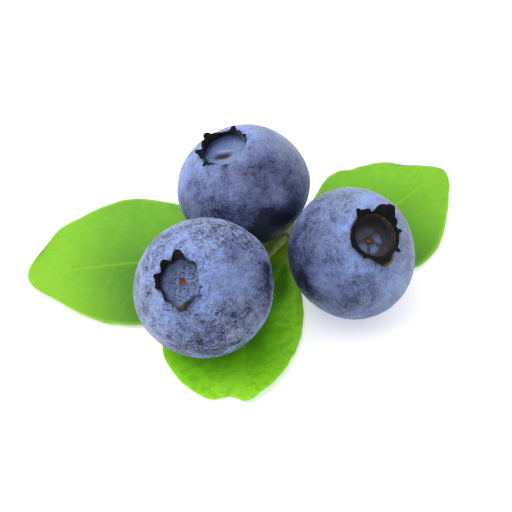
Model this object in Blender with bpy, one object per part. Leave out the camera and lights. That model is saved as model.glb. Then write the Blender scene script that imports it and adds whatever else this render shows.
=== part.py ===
"""Blueberry sprig: three ripe berries with dried crowns, three leaves and a short cut twig.

The sprig lies on a flat surface at z = 0. Every length below is in millimetres.
"""

import math

import bmesh
import bpy
from mathutils import Matrix, Vector

MM = 0.001

# Where the middle of the sprig's box lies, seen from the point between the berries
MIDDLE = Vector((-1.65, -2.15, 0.0))
CLEARANCE = 0.3

# Berries: centre, direction of the crown, largest radius, share of height to width
BERRIES = {
    "front": {"centre": (-5.66, -10.89, 7.93), "axis": (-0.410, -0.470, 0.782), "radius": 7.62},
    "back": {"centre": (-1.43, 3.93, 7.53), "axis": (-0.360, 0.145, 0.922), "radius": 7.45},
    "right": {"centre": (10.51, -4.76, 6.37), "axis": (0.365, -0.325, 0.873), "radius": 7.20},
}
BERRY_OBLATE = 0.87
BERRY_COLUMNS = 38
SKIN_ROWS = 15
# Gentle swellings round each berry: waves round the axis, depth as a share of the radius, turn
SWELLINGS = {
    "front": ((2, 0.006, 0.4), (3, 0.008, 1.9), (5, 0.004, 0.3)),
    "back": ((2, 0.008, 2.2), (3, 0.006, 0.7), (4, 0.005, 1.1)),
    "right": ((2, 0.014, 3.1), (3, 0.006, 2.8), (5, 0.005, 2.0)),
}
# Bulges and flats on one side: angle, depth as a share of the radius, half of the width as an angle
BULGES = {
    "front": ((32, 0.060, 20), (188, 0.025, 35)),
    "back": ((55, -0.022, 28), (118, -0.030, 20), (180, 0.018, 30), (352, 0.015, 25)),
    "right": ((110, 0.008, 40), (315, 0.020, 30)),
}

# The bowl under each crown
LEDGE_DEPTH = 0.75
FLOOR_DEPTH = 0.45
LIP_HEIGHT = 0.06
LIP_WIDTH = 0.55
STYLE_SCAR_RADIUS = 0.3
STYLE_SCAR_DEPTH = 0.15
SCAR_FUNNEL = 1.5
FLOOR_DOME = 0.04
FLOOR_CORNER = (0.12, 0.06)
SKIN_START = 0.06
STEM_DIMPLE_RADIUS = 1.25
STEM_DIMPLE_DEPTH = 0.6
# Shares of the dimple's radius and depth: its steep side, then its floor
STEM_DIMPLE_SIDE = (0.8, 0.55)
STEM_DIMPLE_FLOOR = 0.6

# Crowns: a low collar that opens into uneven lobes
COLLAR_HEIGHT = 0.76
CROWN_THICKNESS = 0.6
LOWEST_LOBE = 0.1
LOBE_SLOPE = 0.7
CROWN_COLUMNS = 60
# Lobes: angle round the crown, length, half of the width as an angle, squareness
CROWNS = {
    "front": {
        "collar": 2.33, "flare": 60.0,
        "lobes": (
            (0, 0.25, 25, 2), (43, 0.35, 13, 2), (87, 0.88, 15, 2), (133, 0.36, 16, 2),
            (170, 0.45, 10, 2), (193, 0.35, 8, 2), (235, 0.18, 10, 2), (263, 0.50, 7, 2),
            (290, 1.25, 17, 2), (328, 0.45, 14, 2),
        ),
    },
    "back": {
        "collar": 2.33, "flare": 42.0,
        "lobes": (
            (14, 0.35, 12, 2), (56, 0.52, 10, 2), (131, 0.75, 17, 4), (200, 0.95, 14, 2),
            (238, 1.00, 11, 2), (290, 0.20, 18, 2),
        ),
    },
    "right": {
        "collar": 2.50, "flare": 56.0,
        "lobes": (
            (16, 0.75, 10, 2), (66, 1.60, 21, 4), (126, 0.98, 15, 4), (208, 0.55, 22, 2),
            (243, 0.75, 7, 2), (285, 1.30, 20, 2), (334, 0.80, 10, 2),
        ),
    },
}

# Leaves: base, bend and tip of the midrib in plan, then for the side on the left hand and the
# side on the right hand of the way from base to tip: half width, fullness at base and at tip
LEAVES = {
    "left": {
        "base": (0.30, 1.10), "bend": (-11.14, -0.43), "tip": (-25.51, -3.77),
        "left": (8.92, 1.42, 1.00), "right": (9.07, 1.10, 0.91), "tip_radius": 1.86,
        "fold": (0.3, 0.7), "wave": (0.15, 0.30), "turns": 2.3, "tip_rise": 0.4,
        "notch": (0.0, 0.0, 1.0), "petiole": 0.08,
    },
    "front": {
        "base": (3.25, -0.75), "bend": (-0.74, -11.59), "tip": (-2.92, -20.95),
        "left": (5.18, 0.79, 0.75), "right": (9.02, 1.38, 0.72), "tip_radius": 2.24,
        "fold": (1.1, 0.0), "wave": (0.20, 0.0), "turns": 1.6, "tip_rise": 0.0,
        "notch": (1.4, 0.2, 1.0), "petiole": 0.06,
    },
    "right": {
        "base": (5.30, 2.55), "bend": (11.57, 4.10), "tip": (21.90, 11.53),
        "left": (7.15, 1.04, 0.96), "right": (9.12, 1.62, 1.24), "tip_radius": 2.49,
        "fold": (0.7, 0.05), "wave": (0.30, 0.05), "turns": 2.6, "tip_rise": 0.5,
        "notch": (0.0, 0.0, 1.0), "petiole": 0.045,
    },
}
BLADE_THICKNESS = 0.6
PETIOLE_THICKNESS = 0.7
PETIOLE_HALF_WIDTH = 0.45
PETIOLE_RISE = 0.12
# Margins bow back near the tip, and the tip's rounding and notch fade out towards the base
TIP_BOW = 0.06
TIP_BOW_POWER = 6
TIP_REACH = 2.5
NOTCH_POWER = 8
# How the fold grows towards the margin and along the leaf, and how the waves grow to the margin
FOLD_ACROSS = 1.6
FOLD_ALONG = 1.2
FOLD_EASE = 0.35
WAVE_ACROSS = 3
LEAF_ROWS = 22
HALF_COLUMNS = 6

# Twig: points of the middle line, with the radius at each
TWIG = (
    (3.25, 1.45, 1.45, 0.56), (3.55, 3.45, 1.12, 0.66), (4.25, 7.05, 0.86, 0.72),
    (3.85, 11.05, 0.80, 0.76), (2.15, 16.10, 0.80, 0.78),
)
TWIG_SIDES = 14
# Pedicels: how far each runs straight out of its berry, then the points on to the twig
PEDICEL_RADIUS = 0.42
PEDICEL_SIDES = 10
PEDICELS = {
    "front": {"straight": 0.6, "path": ((-0.9, -4.3, 1.75), (1.7, -0.9, 1.75), (3.25, 1.5, 1.45))},
    "back": {"straight": 0.25, "path": ((2.0, 3.0, 0.8), (3.5, 3.4, 1.1))},
    "right": {"straight": -0.3, "path": ((6.2, -0.9, 0.62), (4.8, 0.7, 0.9), (3.4, 2.0, 1.35))},
}

SKIN = ("blueberry_skin", (0.085, 0.105, 0.235, 1.0), 0.55)
CROWN = ("dried_crown", (0.016, 0.013, 0.014, 1.0), 0.75)
LEAF = ("leaf_green", (0.16, 0.36, 0.045, 1.0), 0.45)
BARK = ("twig_bark", (0.15, 0.17, 0.05, 1.0), 0.7)


def clear_scene():
    """Removes every object of the start scene."""
    for thing in list(bpy.data.objects):
        bpy.data.objects.remove(thing, do_unlink=True)


def make_material(name, colour, roughness):
    """A plain surface of one colour."""
    material = bpy.data.materials.new(name)
    material.use_nodes = True
    shader = material.node_tree.nodes["Principled BSDF"]
    shader.inputs["Base Color"].default_value = colour
    shader.inputs["Roughness"].default_value = roughness
    shader.inputs["Metallic"].default_value = 0.0
    return material


def add_object(name, points, faces, material, smooth=True):
    """A mesh object from points in millimetres."""
    mesh = bpy.data.meshes.new(name)
    mesh.from_pydata([Vector(p) * MM for p in points], [], faces)
    mesh.materials.append(material)
    if smooth:
        mesh.shade_smooth()
    thing = bpy.data.objects.new(name, mesh)
    bpy.context.scene.collection.objects.link(thing)
    return thing


def outward(thing):
    """Turns every face of a closed mesh outwards."""
    shape = bmesh.new()
    shape.from_mesh(thing.data)
    bmesh.ops.recalc_face_normals(shape, faces=shape.faces)
    shape.to_mesh(thing.data)
    shape.free()


def placed(point):
    """A point measured from between the berries, moved so that the sprig's box is centred."""
    return Vector(point) - MIDDLE


def berry_frame(berry):
    """Turn and place of a berry: local z is its crown's direction, local x lies nearest world x."""
    axis = Vector(berry["axis"]).normalized()
    across = (Vector((1, 0, 0)) - axis.x * axis).normalized()
    turn = Matrix((across, axis.cross(across), axis)).transposed().to_4x4()
    return Matrix.Translation(placed(berry["centre"]) * MM) @ turn


# Berry skin


def skin_height(radius, distance):
    """Height of the upper skin of a flattened ball at a distance from its axis."""
    return BERRY_OBLATE * radius * math.sqrt(max(0.0, 1.0 - (distance / radius) ** 2))


def mouth_radius(name):
    """Radius of the bowl's mouth: it clears the crown's collar all round."""
    return CROWNS[name]["collar"] + CROWN_THICKNESS / 2 + CLEARANCE


def ledge_height(name):
    """Height of the ledge that the crown stands on."""
    return skin_height(BERRIES[name]["radius"], mouth_radius(name)) - LEDGE_DEPTH


def berry_profile(name):
    """Half section of a berry from its crown end to its stem end, as distance and height."""
    radius = BERRIES[name]["radius"]
    mouth = mouth_radius(name)
    inner = CROWNS[name]["collar"] - CROWN_THICKNESS / 2
    ledge = ledge_height(name)
    floor = ledge - FLOOR_DEPTH
    pit = floor - STYLE_SCAR_DEPTH
    points = [
        (STYLE_SCAR_RADIUS, pit),
        (STYLE_SCAR_RADIUS * SCAR_FUNNEL, floor),
        (inner * 0.6, floor - FLOOR_DOME),
        (inner - FLOOR_CORNER[0], floor + FLOOR_CORNER[1]),
        (inner, ledge),
        (mouth, ledge),
    ]
    first = math.asin((mouth + SKIN_START) / radius)
    last = math.pi - math.asin(STEM_DIMPLE_RADIUS / radius)
    for row in range(SKIN_ROWS + 1):
        angle = first + (last - first) * row / SKIN_ROWS
        distance = radius * math.sin(angle)
        height = BERRY_OBLATE * radius * math.cos(angle)
        if height > 0:
            height += LIP_HEIGHT * math.exp(-(((distance - mouth) / LIP_WIDTH) ** 2))
        points.append((distance, height))
    stem_end = -BERRY_OBLATE * radius
    side_radius, side_depth = STEM_DIMPLE_SIDE
    points.append((STEM_DIMPLE_RADIUS * side_radius, stem_end + STEM_DIMPLE_DEPTH * side_depth))
    points.append((STEM_DIMPLE_RADIUS * STEM_DIMPLE_FLOOR, stem_end + STEM_DIMPLE_DEPTH))
    return pit, points, stem_end + STEM_DIMPLE_DEPTH


def swelling(name, angle, distance):
    """How much the skin swells at an angle round the axis, growing from none at the two ends."""
    mouth = mouth_radius(name)
    share = max(0.0, distance - mouth) / (BERRIES[name]["radius"] - mouth)
    total = sum(depth * math.cos(waves * angle + turn) for waves, depth, turn in SWELLINGS[name])
    for centre, depth, half_width in BULGES[name]:
        away = abs((math.degrees(angle) - centre + 180) % 360 - 180) / half_width
        total += depth * math.exp(-(away**2))
    return 1.0 + total * share


def make_berry(name, material):
    """One berry: a turned half section with its ends closed, swollen a little round the axis."""
    pit, profile, stem_floor = berry_profile(name)
    points = [(0, 0, pit)]
    for distance, height in profile:
        for column in range(BERRY_COLUMNS):
            angle = 2 * math.pi * column / BERRY_COLUMNS
            reach = distance * swelling(name, angle, distance)
            points.append((reach * math.cos(angle), reach * math.sin(angle), height))
    points.append((0, 0, stem_floor))
    last = len(points) - 1
    faces = []
    for column in range(BERRY_COLUMNS):
        after = (column + 1) % BERRY_COLUMNS
        faces.append((0, 1 + column, 1 + after))
        end = 1 + (len(profile) - 1) * BERRY_COLUMNS
        faces.append((last, end + after, end + column))
        for row in range(len(profile) - 1):
            here = 1 + row * BERRY_COLUMNS
            there = here + BERRY_COLUMNS
            faces.append((here + column, there + column, there + after, here + after))
    thing = add_object("berry_" + name, points, faces, material)
    thing.matrix_world = berry_frame(BERRIES[name])
    outward(thing)
    return thing


def flatten_underside(thing):
    """Cuts a berry off level at z = 0, which leaves the small flat spot that it rests on."""
    to_local = thing.matrix_world.inverted()
    shape = bmesh.new()
    shape.from_mesh(thing.data)
    cut = bmesh.ops.bisect_plane(
        shape,
        geom=shape.verts[:] + shape.edges[:] + shape.faces[:],
        dist=1e-8,
        plane_co=to_local @ Vector((0, 0, 0)),
        plane_no=to_local.to_3x3() @ Vector((0, 0, -1)),
        clear_outer=True,
    )
    rim = [part for part in cut["geom_cut"] if isinstance(part, bmesh.types.BMEdge)]
    bmesh.ops.edgeloop_fill(shape, edges=rim)
    bmesh.ops.recalc_face_normals(shape, faces=shape.faces)
    shape.to_mesh(thing.data)
    shape.free()


# Crowns


def lobe_length(name, angle):
    """Length of the crown's edge beyond its collar at an angle in degrees: a bump at each lobe."""
    length = LOWEST_LOBE
    for centre, reach, half_width, squareness in CROWNS[name]["lobes"]:
        away = abs((angle - centre + 180) % 360 - 180) / half_width
        length = max(length, LOWEST_LOBE + reach * math.exp(-LOBE_SLOPE * away**squareness))
    return length


def make_crown(name, material):
    """One crown: a collar bent outwards at its flare, cut into lobes, closed round the ring."""
    collar = CROWNS[name]["collar"]
    foot = ledge_height(name) + CLEARANCE
    bend = foot + COLLAR_HEIGHT
    flare = math.radians(CROWNS[name]["flare"])
    half = CROWN_THICKNESS / 2
    lean = half * math.tan(flare / 2)
    points = []
    for column in range(CROWN_COLUMNS):
        turn = 2 * math.pi * column / CROWN_COLUMNS
        length = lobe_length(name, math.degrees(turn))
        tip = (collar + length * math.sin(flare), bend + length * math.cos(flare))
        side = (half * math.cos(flare), -half * math.sin(flare))
        section = (
            (collar + half, foot),
            (collar + half, bend - lean),
            (tip[0] + side[0], tip[1] + side[1]),
            (tip[0] - side[0], tip[1] - side[1]),
            (collar - half, bend + lean),
            (collar - half, foot),
        )
        points += [(d * math.cos(turn), d * math.sin(turn), height) for d, height in section]
    around = 6
    faces = []
    for column in range(CROWN_COLUMNS):
        here = column * around
        there = (column + 1) % CROWN_COLUMNS * around
        for corner in range(around):
            after = (corner + 1) % around
            faces.append((here + corner, there + corner, there + after))
            faces.append((here + corner, there + after, here + after))
    thing = add_object("calyx_" + name, points, faces, material)
    thing.matrix_world = berry_frame(BERRIES[name])
    outward(thing)
    return thing


# Leaves


def leaf_length(leaf):
    """Length from the blade's base to its tip, in a straight line."""
    return (Vector(leaf["tip"]) - Vector(leaf["base"])).length


def side_width(leaf, side, share):
    """Half width at a share of the length: widest between base and tip, with a rounded tip."""
    widest, base_power, tip_power = leaf[side]
    if share <= 0:
        return PETIOLE_HALF_WIDTH
    peak = base_power / (base_power + tip_power)
    form = (share / peak) ** base_power * (max(0.0, 1 - share) / (1 - peak)) ** tip_power
    to_tip = max(0.0, 1 - share) * leaf_length(leaf)
    rounding = 2 * leaf["tip_radius"] * to_tip * math.exp(-to_tip / TIP_REACH)
    return max(PETIOLE_HALF_WIDTH, math.sqrt((widest * form) ** 2 + rounding))


def midrib(leaf, share):
    """Point of the midrib in plan and the way to its left: a bent line with one control point."""
    base, bend, tip = (Vector(leaf[key]) for key in ("base", "bend", "tip"))
    point = (1 - share) ** 2 * base + 2 * share * (1 - share) * bend + share**2 * tip
    along = (2 * (1 - share) * (bend - base) + 2 * share * (tip - bend)).normalized()
    return point, Vector((-along.y, along.x))


def leaf_height(leaf, share, across):
    """Height of the blade's underside: a shallow fold, waved margins and a lifted tip."""
    if share <= 0:
        return -share / leaf["petiole"] * PETIOLE_RISE
    side = 0 if across > 0 else 1
    edge = abs(across)
    fold = leaf["fold"][side] * edge**FOLD_ACROSS * share**FOLD_ALONG * (1 - FOLD_EASE * share)
    turns = math.sin(2 * math.pi * leaf["turns"] * share)
    wave = leaf["wave"][side] * edge**WAVE_ACROSS * share * turns
    return max(0.0, fold + wave + leaf["tip_rise"] * share**3)


def leaf_point(leaf, share, across):
    """Plan and height of the underside, for a share of the length and -1 to 1 over the width."""
    side = "left" if across > 0 else "right"
    bow = TIP_BOW * max(0.0, share) ** TIP_BOW_POWER
    offset = across * side_width(leaf, side, share - bow)
    depth, middle, width = leaf["notch"]
    notch = depth / leaf_length(leaf) * max(0.0, share) ** NOTCH_POWER
    notch *= math.exp(-(((offset - middle) / width) ** 2))
    point, left = midrib(leaf, share - bow * across**2 - notch)
    plan = point + left * offset
    return plan.x, plan.y, leaf_height(leaf, share, across)


def make_leaf(name, material):
    """One leaf with its petiole: two like faces, one above the other, and a rim between them."""
    leaf = LEAVES[name]
    columns = 2 * HALF_COLUMNS
    lower = []
    upper = []
    for row in range(LEAF_ROWS + 1):
        share = -leaf["petiole"] + (1 + leaf["petiole"]) * row / LEAF_ROWS
        thickness = PETIOLE_THICKNESS if share <= 0 else BLADE_THICKNESS
        for column in range(columns + 1):
            across = -1 + column / HALF_COLUMNS
            x, y, z = leaf_point(leaf, share, across)
            lower.append(placed((x, y, z)))
            upper.append(placed((x, y, z + thickness)))
    wide = columns + 1
    count = len(lower)
    faces = []
    for row in range(LEAF_ROWS):
        for column in range(columns):
            a = row * wide + column
            b, c, d = a + 1, a + wide + 1, a + wide
            faces += [(a, b, c), (a, c, d)]
            faces += [(count + a, count + c, count + b), (count + a, count + d, count + c)]
    rim = [row * wide for row in range(LEAF_ROWS)]
    rim += [LEAF_ROWS * wide + column for column in range(columns)]
    rim += [row * wide + columns for row in range(LEAF_ROWS, 0, -1)]
    rim += [column for column in range(columns, 0, -1)]
    for here, there in zip(rim, rim[1:] + rim[:1]):
        faces += [(here, there, count + there), (here, count + there, count + here)]
    thing = add_object("leaf_" + name, lower + upper, faces, material, smooth=False)
    outward(thing)
    return thing


# Twig and pedicels


def add_rod(name, path, sides):
    """A round rod with closed ends along points that carry a radius."""
    line = bpy.data.curves.new(name, "CURVE")
    line.dimensions = "3D"
    line.bevel_depth = MM
    line.bevel_resolution = sides // 2 - 2
    line.use_fill_caps = True
    line.resolution_u = 5
    spline = line.splines.new("BEZIER")
    spline.bezier_points.add(len(path) - 1)
    for knot, (x, y, z, radius) in zip(spline.bezier_points, path):
        knot.co = placed((x, y, z)) * MM
        knot.handle_left_type = "AUTO"
        knot.handle_right_type = "AUTO"
        knot.radius = radius
    guide = bpy.data.objects.new(name, line)
    bpy.context.scene.collection.objects.link(guide)
    graph = bpy.context.evaluated_depsgraph_get()
    mesh = bpy.data.meshes.new_from_object(guide.evaluated_get(graph))
    bpy.data.objects.remove(guide, do_unlink=True)
    bpy.data.curves.remove(line)
    shape = bmesh.new()
    shape.from_mesh(mesh)
    bmesh.ops.remove_doubles(shape, verts=shape.verts, dist=1e-6)
    bmesh.ops.recalc_face_normals(shape, faces=shape.faces)
    shape.to_mesh(mesh)
    shape.free()
    rod = bpy.data.objects.new(name, mesh)
    bpy.context.scene.collection.objects.link(rod)
    return rod


def pedicel_path(name):
    """Points of a pedicel: out of the berry's stem dimple, then on to the twig."""
    berry = BERRIES[name]
    axis = Vector(berry["axis"]).normalized()
    start = BERRY_OBLATE * berry["radius"] - STEM_DIMPLE_DEPTH + CLEARANCE
    out = start + STEM_DIMPLE_DEPTH + PEDICELS[name]["straight"]
    centre = Vector(berry["centre"])
    path = [(*(centre - axis * reach), PEDICEL_RADIUS) for reach in (start, out)]
    return path + [(*point, PEDICEL_RADIUS) for point in PEDICELS[name]["path"]]


def make_twig(material):
    """The twig with the three pedicels grown together with it."""
    twig = add_rod("twig", TWIG, TWIG_SIDES)
    branches = bpy.data.collections.new("pedicels")
    bpy.context.scene.collection.children.link(branches)
    for name in PEDICELS:
        rod = add_rod("pedicel_" + name, pedicel_path(name), PEDICEL_SIDES)
        bpy.context.scene.collection.objects.unlink(rod)
        branches.objects.link(rod)
    union = twig.modifiers.new("joined", "BOOLEAN")
    union.operation = "UNION"
    union.operand_type = "COLLECTION"
    union.collection = branches
    union.solver = "EXACT"
    graph = bpy.context.evaluated_depsgraph_get()
    joined = bpy.data.meshes.new_from_object(twig.evaluated_get(graph))
    twig.modifiers.clear()
    twig.data = joined
    for rod in list(branches.objects):
        bpy.data.objects.remove(rod, do_unlink=True)
    bpy.data.collections.remove(branches)
    joined.materials.clear()
    joined.materials.append(material)
    joined.shade_smooth()
    return twig


def main():
    clear_scene()
    skin = make_material(*SKIN)
    crown = make_material(*CROWN)
    green = make_material(*LEAF)
    bark = make_material(*BARK)
    for name in BERRIES:
        berry = make_berry(name, skin)
        if name == "right":
            bpy.context.view_layer.update()
            flatten_underside(berry)
        make_crown(name, crown)
    for name in LEAVES:
        make_leaf(name, green)
    make_twig(bark)


main()
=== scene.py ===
"""Blueberry sprig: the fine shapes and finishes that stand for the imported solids.

Lengths in the formulas are millimetres, measured from between the berries; MIDDLE moves them
into the part's own frame. The meshes are in metres. Angles in the tables are degrees.
"""

import math

import bpy
import numpy as np
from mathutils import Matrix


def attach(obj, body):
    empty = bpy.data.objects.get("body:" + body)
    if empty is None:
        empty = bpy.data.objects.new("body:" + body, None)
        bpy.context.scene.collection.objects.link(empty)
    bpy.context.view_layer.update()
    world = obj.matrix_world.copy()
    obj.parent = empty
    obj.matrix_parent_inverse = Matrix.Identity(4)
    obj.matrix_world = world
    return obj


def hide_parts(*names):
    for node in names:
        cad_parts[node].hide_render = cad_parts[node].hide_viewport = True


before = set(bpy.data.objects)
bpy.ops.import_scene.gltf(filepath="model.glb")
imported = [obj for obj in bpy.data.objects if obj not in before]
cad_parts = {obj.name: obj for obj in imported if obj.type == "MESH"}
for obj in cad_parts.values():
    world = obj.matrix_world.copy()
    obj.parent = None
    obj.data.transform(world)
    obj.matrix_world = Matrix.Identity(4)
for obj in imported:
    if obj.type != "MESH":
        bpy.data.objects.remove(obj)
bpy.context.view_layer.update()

MM = 0.001
MIDDLE = np.array((-1.65, -2.15, 0))

# The photograph's camera: angle above the table, focal length and sensor, distance
VIEW_ELEVATION = 50.8
LENS = 162
SENSOR = 36
CAMERA_DISTANCE = 261

# Studio: brightness of the surroundings and its growth towards right, back and up, the soft
# panel, and the floor's tone, glow, half side and depth below the sprig
SKY_LEVEL = 0.6
SKY_GROWTH = (0, 0.3, 0.5)
PANEL_PLACE = (-230, 60, 340)
PANEL_SIZE = 450
PANEL_POWER = 1.5
FLOOR_TONE = (800, 800, 800)
FLOOR_GLOW = 0.4
FLOOR_HALF_SIDE = 3000
FLOOR_DROP = 0.02

# Berries: centre, direction of the crown, largest radius
BERRIES = {
    "front": {"centre": (-5.66, -10.89, 7.93), "axis": (-0.41, -0.47, 0.782), "radius": 7.62},
    "back": {"centre": (-1.43, 3.93, 7.53), "axis": (-0.36, 0.145, 0.922), "radius": 7.45},
    "right": {"centre": (10.51, -4.76, 6.37), "axis": (0.365, -0.325, 0.873), "radius": 7.2},
}
OBLATE = 0.87
BERRY_COLUMNS = 260
BOWL_ROWS = 46
WALL_ROWS = 44
SKIN_ROWS = 150
DIMPLE_ROWS = 16
# Waves round each berry: how many, depth as a share of the radius, turn in radians
SWELLINGS = {
    "front": ((2, 0.006, 0.4), (3, 0.008, 1.9), (5, 0.004, 0.3)),
    "back": ((2, 0.008, 2.2), (3, 0.006, 0.7), (4, 0.005, 1.1)),
    "right": ((2, 0.014, 3.1), (3, 0.006, 2.8), (5, 0.005, 2)),
}
# Bulges and flats on one side: angle round the axis, depth as a share of the radius, half width
BULGES = {
    "front": ((32, 0.06, 20), (188, 0.025, 35)),
    "back": ((55, -0.022, 28), (118, -0.03, 20), (180, 0.018, 30), (352, 0.015, 25)),
    "right": ((110, 0.008, 40), (315, 0.02, 30)),
}
# Low smooth dents of the skin and the fine creases round the crown: depth, size, seed's step
DENTS_OF_SKIN = ((0.075, 4.1, 0), (0.035, 1.7, 10), (0.014, 0.6, 20))
CREASES = 19
CREASE_DEPTH = 0.022
# How strongly the fine marks show in each berry's bloom, then patches where they show more or
# less: angle round the axis, angle from the axis, size, amount in hundredths
CRISPNESS = {"front": 1.15, "back": 0.6, "right": 0.7}
MARKED = {
    "front": (
        (3, 52, 27, -78), (58, 62, 20, 25), (34, 77, 12, 35), (302, 61, 9, 35), (290, 77, 14, 50),
        (266, 67, 12, 40), (126, 48, 14, 30), (233, 42, 12, 25),
    ),
    "back": ((305, 66, 26, -16), (10, 55, 30, -26), (250, 42, 16, 16), (240, 66, 14, 18)),
    "right": (
        (190, 72, 20, -16), (242, 80, 24, -24), (310, 56, 20, -24), (256, 50, 12, 22),
        (205, 42, 9, 18), (284, 47, 8, 14),
    ),
}
MARKS_LOST_UNDER_RUBBING_AND_SHADE = 0.45
# Patches where the bloom is thinned, partly rubbed off and partly painted shade between the
# berries and on their lower sides, or, with a minus, left thick, in the same way
RUBBED_AND_PAINTED_SHADE = {
    "front": (
        (74, 56, 26, 12), (39, 78, 26, 24), (4, 85, 17, 54), (320, 74, 20, 26), (298, 78, 20, 22),
        (280, 58, 22, 25), (250, 66, 18, 13), (187, 58, 18, 10), (116, 50, 20, 18), (26, 57, 9, 28),
        (331, 61, 10, 18), (290, 58, 12, 17), (18, 80, 12, 8), (331, 40, 10, -6), (4, 45, 13, -5),
        (308, 72, 9, -22), (347, 86, 12, 30), (340, 70, 12, 10), (36, 70, 10, -4),
        (309, 36, 8, -16), (273, 42, 9, 15), (323, 58, 8, 13), (0, 74, 8, -6), (18, 58, 8, 8),
        (61, 61, 13, -10), (303, 73, 9, -12), (321, 37, 8, -10), (25, 40, 9, -8), (293, 62, 8, 8),
        (334, 83, 9, -5), (356, 77, 8, -6),
    ),
    "back": (
        (320, 60, 28, 30), (275, 70, 26, 28), (234, 64, 20, 46), (290, 108, 22, 140),
        (340, 84, 22, 32), (20, 74, 18, 18), (210, 84, 20, 40), (309, 80, 11, -24),
        (303, 50, 20, 18), (328, 60, 14, 10), (268, 40, 14, 20), (228, 42, 12, 12),
        (258, 70, 12, 18), (251, 58, 9, -5), (299, 84, 5, 16), (293, 83, 5, 16), (278, 41, 9, 8),
        (236, 39, 9, 8), (18, 31, 9, -18), (322, 94, 12, 10), (322, 80, 10, 12), (289, 71, 10, 12),
        (273, 75, 10, 12), (311, 54, 10, 8), (272, 27, 4, 32), (269, 34, 4, 26), (277, 62, 9, -12),
        (264, 64, 8, -8), (319, 97, 11, 19), (300, 101, 13, 17), (307, 86, 9, 8), (320, 81, 8, 6),
        (297, 104, 9, 20), (283, 87, 8, -10), (339, 63, 8, 8), (234, 53, 8, -6),
    ),
    "right": (
        (200, 74, 22, 25), (185, 95, 26, 52), (155, 68, 20, 34), (115, 58, 22, 22),
        (257, 70, 20, 32), (232, 82, 18, 26), (290, 84, 18, 22), (212, 90, 16, 28),
        (205, 48, 12, 16), (276, 50, 10, 26), (179, 52, 12, 10), (105, 36, 14, -20),
        (259, 43, 8, 10), (223, 38, 9, -8), (184, 50, 18, 10), (257, 47, 14, 8), (226, 58, 10, 14),
        (126, 38, 8, -8), (308, 53, 12, -8), (245, 73, 8, -13), (168, 76, 10, 10),
        (230, 90, 10, 22), (85, 41, 10, -18), (324, 45, 10, -19), (304, 45, 8, -6),
        (188, 64, 9, 10), (218, 90, 9, 10), (282, 54, 8, 6), (225, 79, 9, -7), (280, 51, 7, 6),
        (131, 52, 8, 6), (83, 42, 8, -6), (166, 62, 8, -8), (245, 58, 8, 8), (176, 45, 9, 8),
    ),
}
# Patches of painted greyish sheen towards the berries' outlines, in the same way
GREYER_PAINTED_SHEEN = {
    "front": ((190, 58, 34, 90), (318, 72, 24, 85), (76, 66, 26, 65), (236, 74, 24, 60)),
    "back": ((345, 78, 30, 80), (38, 55, 30, 50), (320, 84, 20, 50)),
    "right": ((5, 48, 36, 80), (120, 64, 24, 85), (306, 66, 26, 60)),
}

# The bowl under each crown and the dimple at the stem
MOUTH_GAP = 0.6
BOWL_DEPTH = 1.2
SCAR_RADIUS = 0.26
SCAR_DEPTH = 0.16
LIP_HEIGHT = 0.06
LIP_WIDTH = 0.55
DIMPLE_RADIUS = 1.25
DIMPLE_DEPTH = 0.6
NEAR_AXIS = 0.03
# The bowl's star of five arms: its turn, the lit side, where the star is painted strongest and
# the wall's painted shade weakest, and the side of the floor's pits, both as angles back from across
STAR_TURN = 90
STAR_SIDE = 50
PITTED_SIDE = 35

# Crowns: collar radius, flare, least length beyond the collar, how far the collar bulges under
# each lobe, a lower side as angle, depth and half width, the scar's strength and place, its dark
# ring as half width, stretch, slant and place, which on the back berry is painted shade in a
# notch, strength of the ridge beside the ring and of its painted pale highlight, then the lobes
# as angle, length, half width, squareness, extra flare
CROWNS = {
    "front": {
        "collar": 2.22, "flare": 60, "least": 0.06, "bulge": 0.16, "low_side": (5, 0.66, 46),
        "scar": (1, -0.12, 0.06), "ring": (0.42, 1, 0, -0.08, 0.04), "ridge_with_painted_highlight": 0,
        "lobes": (
            (44, 0.44, 9, 2, 0), (86, 0.93, 15, 3, 0), (128, 0.53, 13, 3, 0),
            (167, 0.52, 8, 3, 0), (181, 0.34, 14, 4, 0), (193, 0.4, 8, 3, 0),
            (240, 0.33, 12, 2, 0), (263, 0.62, 5, 2, 0), (286, 1.14, 16, 3, 0),
            (305, 0.72, 10, 3, 0), (326, 0.56, 12, 2, 0),
        ),
    },
    "back": {
        "collar": 2.33, "flare": 42, "least": 0.1, "bulge": 0.05, "low_side": (300, 0.95, 60),
        "scar": (0.08, 0.17, 0.27), "ring": (0.54, 2.1, -16, -0.62, 0.22), "ridge_with_painted_highlight": 0.9,
        "lobes": (
            (9, 0.6, 10, 2, 0), (36, 0.28, 14, 2, 0), (58, 0.56, 9, 3, 0),
            (118, 0.36, 14, 2, 0), (130, 0.84, 11, 3, 0), (151, 0.46, 14, 2, 0),
            (189, 0.96, 10, 2, 0), (206, 0.6, 12, 3, 8), (230, 1.06, 6, 2, 28),
        ),
    },
    "right": {
        "collar": 2.3, "flare": 56, "least": 0.38, "bulge": 0.05, "low_side": (225, 0.05, 50),
        "scar": (0.9, 0.05, -0.04), "ring": (0.5, 1, 0, 0.03, -0.03), "ridge_with_painted_highlight": 0,
        "lobes": (
            (5, 0.32, 48, 6, 0), (16, 0.66, 6, 2, 0), (66, 1.2, 22, 4, 0),
            (62, 1.56, 12, 3, 0), (44, 0.72, 14, 3, 0), (111, 0.5, 12, 5, 0),
            (121, 0.58, 9, 3, 0), (129, 0.9, 8, 3, 0), (175, 0.32, 10, 2, 0),
            (208, 0.56, 28, 3, 0), (243, 0.7, 5, 2, 0), (291, 1.05, 20, 3, 0),
            (318, 0.32, 10, 2, 0), (331, 0.76, 5, 2, 0),
        ),
    },
}
COLLAR_TOP = 0.26
LOBE_SLOPE = 0.7
FILM_AT_FOOT = 0.17
FILM_AT_EDGE = 0.07
CURL = 16
CROWN_COLUMNS = 540
CROWN_ROWS = 34

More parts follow.
